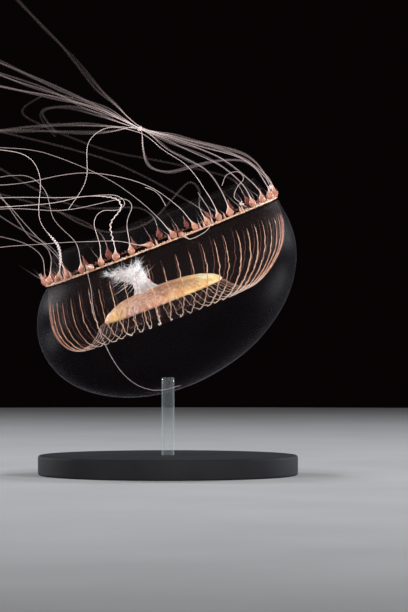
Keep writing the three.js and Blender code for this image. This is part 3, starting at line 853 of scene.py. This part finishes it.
def lobe(frill, fringe, angle):
    """One curled and ruffled lobe, longest on the left."""
    phase = random.uniform(0, 40)
    reach = random.uniform(0.88, 1.08) * (0.8 - 0.28 * math.sin(math.radians(angle)))
    path = spline([Vector((r * reach, d, lean)) for r, d, lean in LOBE_PATH], 0.3)
    out, aside = around(angle, 1), around(angle + 90, 1)
    rings, tones = [], []
    for i, (r, d, lean) in enumerate(path):
        share = i / (len(path) - 1)
        middle = around(angle, r, d, LIPS_FOOT.x + lean)
        up = (Vector((0, 0, 1)) - out * 0.75 * (1 - share)).normalized()
        width = 1.2 + 1.7 * math.sin(math.pi * min(1, share * 1.15) ** 0.9)
        width += 0.3 * noise.noise(Vector((i, phase, 0)))
        row = []
        for u in ACROSS:
            wave = 0.9 * math.sin(i * 0.75 + phase + 2 * u) + 0.5 * math.sin(i * 1.9 + 2 * phase)
            ruffle = abs(u) ** 1.5 * smooth(0, 0.5, share) * wave
            row.append(middle + aside * (u * width) + up * ruffle)
        half = up * (LOBE_THICKNESS / 2)
        rings.append([p + half for p in row] + [p - half for p in reversed(row)])
        tones.append(0.1 + 0.8 * smooth(0.3, 1, share))
        fringe_threads(fringe, row, share, out, aside)
    frill.closed(rings, tones)


def streamer(fringe):
    """A longer thread, trailing to the left."""
    start = LIPS_FOOT + Vector((random.uniform(-7, -1), random.uniform(-3, 3), random.uniform(3, 9)))
    way = Vector((-1, random.uniform(-0.4, 0.4), random.uniform(-0.45, 0.25)))
    thread(fringe, start, way, random.uniform(5, 10), 0.1, 0.3, (0.35, 1))


def lips():
    """The mouth's stalk parts into curled lobes, and a fringe of fine threads grows on them."""
    frill, fringe = Shape(), Shape()
    stalk(frill)
    for k in range(LOBES):
        lobe(frill, fringe, 360 * k / LOBES + random.uniform(-8, 8))
    for _ in range(STREAMERS):
        streamer(fringe)
    fringe.piece("lip_fringes", [FRINGE], "lips")
    frill.piece("mouth_lips", [LIPS], "lips", ("oral_lips",))


# ---- Tentacles ----
SOFTENING = 26  # how many times each point of a line is averaged with its neighbours
PULL = 0.7  # share of the way to the knot that a line of the bundle is drawn in
PULL_REACH = 16
COMPANIONS = 2  # clear threads that run along each tentacle of the bundle
COMPANION_SPREAD = 2.4


def soften(points):
    """Rounds off the corners of a line, whose ends stay in place."""
    for _ in range(SOFTENING):
        inner = [(a + b * 2 + c) / 4 for a, b, c in zip(points, points[1:], points[2:])]
        points = [points[0], *inner, points[-1]]
    return points


def from_knot(point):
    return (point - KNOT).length


def nearest_to_knot(points):
    """The number of the point where a line passes the knot."""
    return min(range(len(points)), key=lambda i: from_knot(points[i]))


def drawn_in(points):
    """A line of the bundle, pulled in towards the knot where it passes it."""
    nearest = points[nearest_to_knot(points)]
    pull = KNOT - nearest
    return [p + pull * (PULL * (1 - smooth(0, PULL_REACH, (p - nearest).length))) for p in points]


def thread_radius(clear):
    return lerp(THIN, SWOLLEN, smooth(0.3, 1, clear))


def coil(number, travelled):
    """How far a coiled tentacle swings out from its line, and how much it is drawn up there, from 0 to 1."""
    radius, pitch, length, _ = COILED[number]
    drawn_up = smooth(0, 2, travelled) * (1 - smooth(length * 0.7, length, travelled))
    turn = 2 * math.pi * travelled / pitch
    unruly = 1 + 0.7 * noise.noise(Vector((travelled * 0.9, number, 2)))
    return Vector((math.cos(turn), math.sin(turn), 0)) * (radius * drawn_up * unruly), drawn_up


def tentacle(shape, number):
    """One grown tentacle: a thread on the route of its solids."""
    bundled = number in BUNDLED
    clearness = CLEARNESS[number - 1]
    points = soften(spline(LINES[number], 0.16 if number in COILED else 0.45))
    if bundled:
        points = drawn_in(points)
        passes_knot = nearest_to_knot(points)
    along = distances(points)
    placed, radii, tones = [], [], []
    for i, (p, travelled) in enumerate(zip(points, along)):
        share = travelled / along[-1]
        wander = noise.noise_vector(Vector((travelled * 0.05, number * 7, 0)))
        wander *= 0.5 * smooth(0, 12, travelled)
        if bundled:
            wander *= smooth(1, 14, from_knot(p))
            clear = lerp(clearness, BUNDLED[number], smooth(0, 80, i - passes_knot))
            clear *= lerp(0.05, 1, smooth(1, 16, from_knot(p)))
        else:
            clear = lerp(clearness, 1, 0.15 * share)
        clear *= smooth(-4, 9, travelled)
        radius = thread_radius(clear)
        if number in COILED:
            swing, drawn_up = coil(number, travelled)
            wander += swing
            radius = lerp(radius, COILED[number][3], drawn_up)
        placed.append(p + wander)
        radii.append(radius * (1 + 0.07 * math.sin(travelled * 2.6) * (1 - share)))
        tones.append(clear)
    radii[-1] = 0.06
    shape.tube(placed, radii, tones, sides=6)


def tentacles(group, first, last):
    shape = Shape()
    replaced = []
    for number in range(first, last + 1):
        replaced += tentacle_nodes(number)
        tentacle(shape, number)
    shape.piece(f"tentacles_{group}", [TENTACLE], "tentacle", replaced)


def in_bell(x, y, z):
    """A place in the frame, in mm, as seen in the bell's frame."""
    return TO_BELL @ (Vector((x, y, z)) * MM)


# Young tentacles that stray from the rest, as places x and z in the frame: one curls up by the right-hand
# bulbs, and one hangs as a short spur.
CURL_PLACES = [
    (31, 106.2), (29.1, 107.6), (26.2, 110.2), (27.3, 113.9),
    (29.9, 117.6), (27.6, 120), (23.2, 118.7), (21.4, 114.6),
]
SPUR_PLACES = [(-8.4, 113.6), (-5.2, 112.4), (-2.8, 110.4), (-0.4, 106.4)]
CURL = [in_bell(x, -35, z) for x, z in CURL_PLACES]
SPUR = [in_bell(x, -46.5, z) for x, z in SPUR_PLACES]
# Threads drawn up into a tight tangle: the middle, the size and the number of turns of each.
TANGLES = [(CURL[1], 1.2, 26), (in_bell(41.3, -4, 114.8), 1.5, 40), (KNOT, 1.3, 46)]


def young_tentacle(shape, angle, height):
    """A short clear thread on a young bulb."""
    tip = around(angle, RING_RADIUS + 0.35, -0.2 - height)
    way = Vector((random.uniform(-0.7, 0), 0, 1)) + around(angle, random.uniform(-0.2, 0.2))
    thread(shape, tip, way, random.uniform(2, 12), 0.09, 0.3, (0.25, 0.85))


def companion(shape, number, k):
    """A clear thread that runs along a tentacle of the bundle, and with it through the knot."""
    line = drawn_in(spline(LINES[number], 0.9))
    passes_knot = nearest_to_knot(line)
    beyond = lerp(1, BUNDLED[number], 0.6)
    points, radii, tones = [], [], []
    for i, (p, travelled) in enumerate(zip(line, distances(line))):
        apart = noise.noise_vector(Vector((travelled * 0.035, number * 5, 20 + 9 * k)))
        spread = COMPANION_SPREAD * smooth(1, 24, from_knot(p)) * smooth(2, 34, travelled)
        clear = lerp(0.7, beyond, smooth(0, 50, i - passes_knot))
        clear *= lerp(0.12, 1, smooth(1, 18, from_knot(p)))
        points.append(p + apart * spread)
        radii.append(lerp(0.08, SWOLLEN, smooth(0.3, 1, clear)))
        tones.append(clear)
    shape.tube(points, radii, tones, sides=5)


def stray(shape, places):
    points = spline(places, 0.4)
    shape.tube(points, [0.1] * len(points), [0.2] * len(points), sides=5)


def tangle(shape, centre, size, steps):
    points = [centre]
    for _ in range(steps):
        step = Vector([random.uniform(-1, 1) for _ in range(3)]) * 0.45 * size
        points.append(points[-1] + step + (centre - points[-1]) * 0.35)
    points = spline(points, 0.2)
    shape.tube(points, [0.12] * len(points), [0] * len(points), sides=5)


def fine_threads():
    shape = Shape()
    for angle, height in YOUNG:
        if height > TALL:
            young_tentacle(shape, angle, height)
    for number in BUNDLED:
        for k in range(COMPANIONS):
            companion(shape, number, k)
    for places in (CURL, SPUR):
        stray(shape, places)
    for centre, size, steps in TANGLES:
        tangle(shape, centre, size, steps)
    shape.piece("fine_threads", [TENTACLE], "tentacle")


# ---- The stand ----
BASE_RADIUS, BASE_TOP = 52, 8
BASE_EDGE = 1  # radius of its rounded edges
SOCKET_RADIUS, SOCKET_FLOOR = 2.8, 4
ROD_RADIUS = 2.5
ROD_BEVEL = 0.3
UPRIGHT = Matrix.Scale(MM, 4)  # the stand has no lean


def turned(profile, segments):
    """A solid turned round the upright axis, from its profile of (radius, height)."""
    shape = Shape()
    rings = [[around(360 * j / segments, r, -z) for j in range(segments)] for r, z in profile]
    shape.closed(rings[::-1])
    return shape


def rounded(outer, z, radius, up):
    """The points of a quarter round at a disc's edge.

    It leads from the side to the top face at height z, or if not up, from the bottom face to the side.
    """
    steps = 6
    for i in range(steps + 1):
        turn = math.pi / 2 * i / steps
        across, rise = (math.cos(turn), math.sin(turn)) if up else (math.sin(turn), math.cos(turn))
        height = z - radius + radius * rise if up else z + radius - radius * rise
        yield outer - radius + radius * across, height


def stand_base():
    profile = [
        (0.4, 0),
        (BASE_RADIUS - 4, 0),
        *rounded(BASE_RADIUS, 0, BASE_EDGE, up=False),
        *rounded(BASE_RADIUS, BASE_TOP, BASE_EDGE, up=True),
        (20, BASE_TOP),
        (SOCKET_RADIUS + 0.3, BASE_TOP),
        (SOCKET_RADIUS, BASE_TOP),
        (SOCKET_RADIUS, SOCKET_FLOOR + 0.02),
        (0.4, SOCKET_FLOOR),
    ]
    disc = turned(profile, 128)
    disc.piece("stand_base_disc", [black_acrylic_material()], "stand_dark", ("stand_base",), UPRIGHT)


def stand_rod():
    foot, tip = (corner.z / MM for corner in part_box("stand_rod"))
    steps = 8
    sides = [(ROD_RADIUS, lerp(foot, tip - ROD_BEVEL, i / steps)) for i in range(steps + 1)]
    rod = turned([(0.3, foot), (ROD_RADIUS, foot), *sides, (ROD_RADIUS - ROD_BEVEL, tip), (0.3, tip)], 48)
    rod.piece("stand_clear_rod", [clear_acrylic_material()], "stand_clear", ("stand_rod",), UPRIGHT)


bell()
canals()
margin_ring()
large_bulbs()
small_bulbs()
velum()
stomach()
lips()
for group, (first, last) in TENTACLE_GROUPS.items():
    tentacles(group, first, last)
fine_threads()
stand_base()
stand_rod()


# ---- Floor and light ----
FLOOR_RADII = (1.0, 0.6, 0.3, 0.1, 0.02)
SPREAD = 70  # degrees that the grids of the low softboxes let through
COOL = (0.92, 0.95, 1)
AIM = Vector((0, 0, 0.1))
SURROUND = (0.0022, 0.0012, 0.0014, 1)
CLEAR_LAYERS = 48  # clear surfaces that light may pass one behind another


def floor():
    """A round studio floor, in metres."""
    segments = 128
    shape = Shape()
    rings = [[around(360 * j / segments, r) for j in range(segments)] for r in FLOOR_RADII]
    start = shape.rings(rings)
    shape.cap(start + (len(rings) - 1) * segments, segments, flip=False)
    mesh = bpy.data.meshes.new("floor")
    mesh.from_pydata(shape.points, [], shape.faces)
    mesh.materials.append(floor_material())
    made = bpy.data.objects.new("floor", mesh)
    bpy.context.collection.objects.link(made)


def softbox(name, place, size, power, spread=180, tint=(1, 1, 1)):
    """A soft light aimed at the animal, with a grid that keeps it within the spread, in degrees."""
    light = bpy.data.lights.new(name, "AREA")
    light.shape = "RECTANGLE"
    light.size, light.size_y = size
    light.energy = power
    light.color = tint
    light.spread = math.radians(spread)
    made = bpy.data.objects.new(name, light)
    made.location = place
    made.rotation_euler = (AIM - Vector(place)).to_track_quat("-Z", "Y").to_euler()
    made.visible_camera = False
    bpy.context.collection.objects.link(made)


floor()
softbox("key", (0.95, -1.05, 0.42), (0.5, 0.3), 3.1, SPREAD)
softbox("fill", (-1.1, -0.95, 0.38), (0.5, 0.3), 2.2, SPREAD)
softbox("back_left", (-1.05, 0.95, 0.4), (0.5, 0.3), 2.7, SPREAD, COOL)
softbox("back_right", (1.05, 0.95, 0.4), (0.5, 0.3), 2.7, SPREAD, COOL)
softbox("top", (0, 0.1, 1.2), (0.6, 0.6), 2)

world = bpy.data.worlds.new("studio")
world.use_nodes = True
world.node_tree.nodes["Background"].inputs["Color"].default_value = SURROUND
bpy.context.scene.world = world
bpy.context.scene.view_settings.view_transform = "Standard"
bpy.context.scene.cycles.transparent_max_bounces = CLEAR_LAYERS
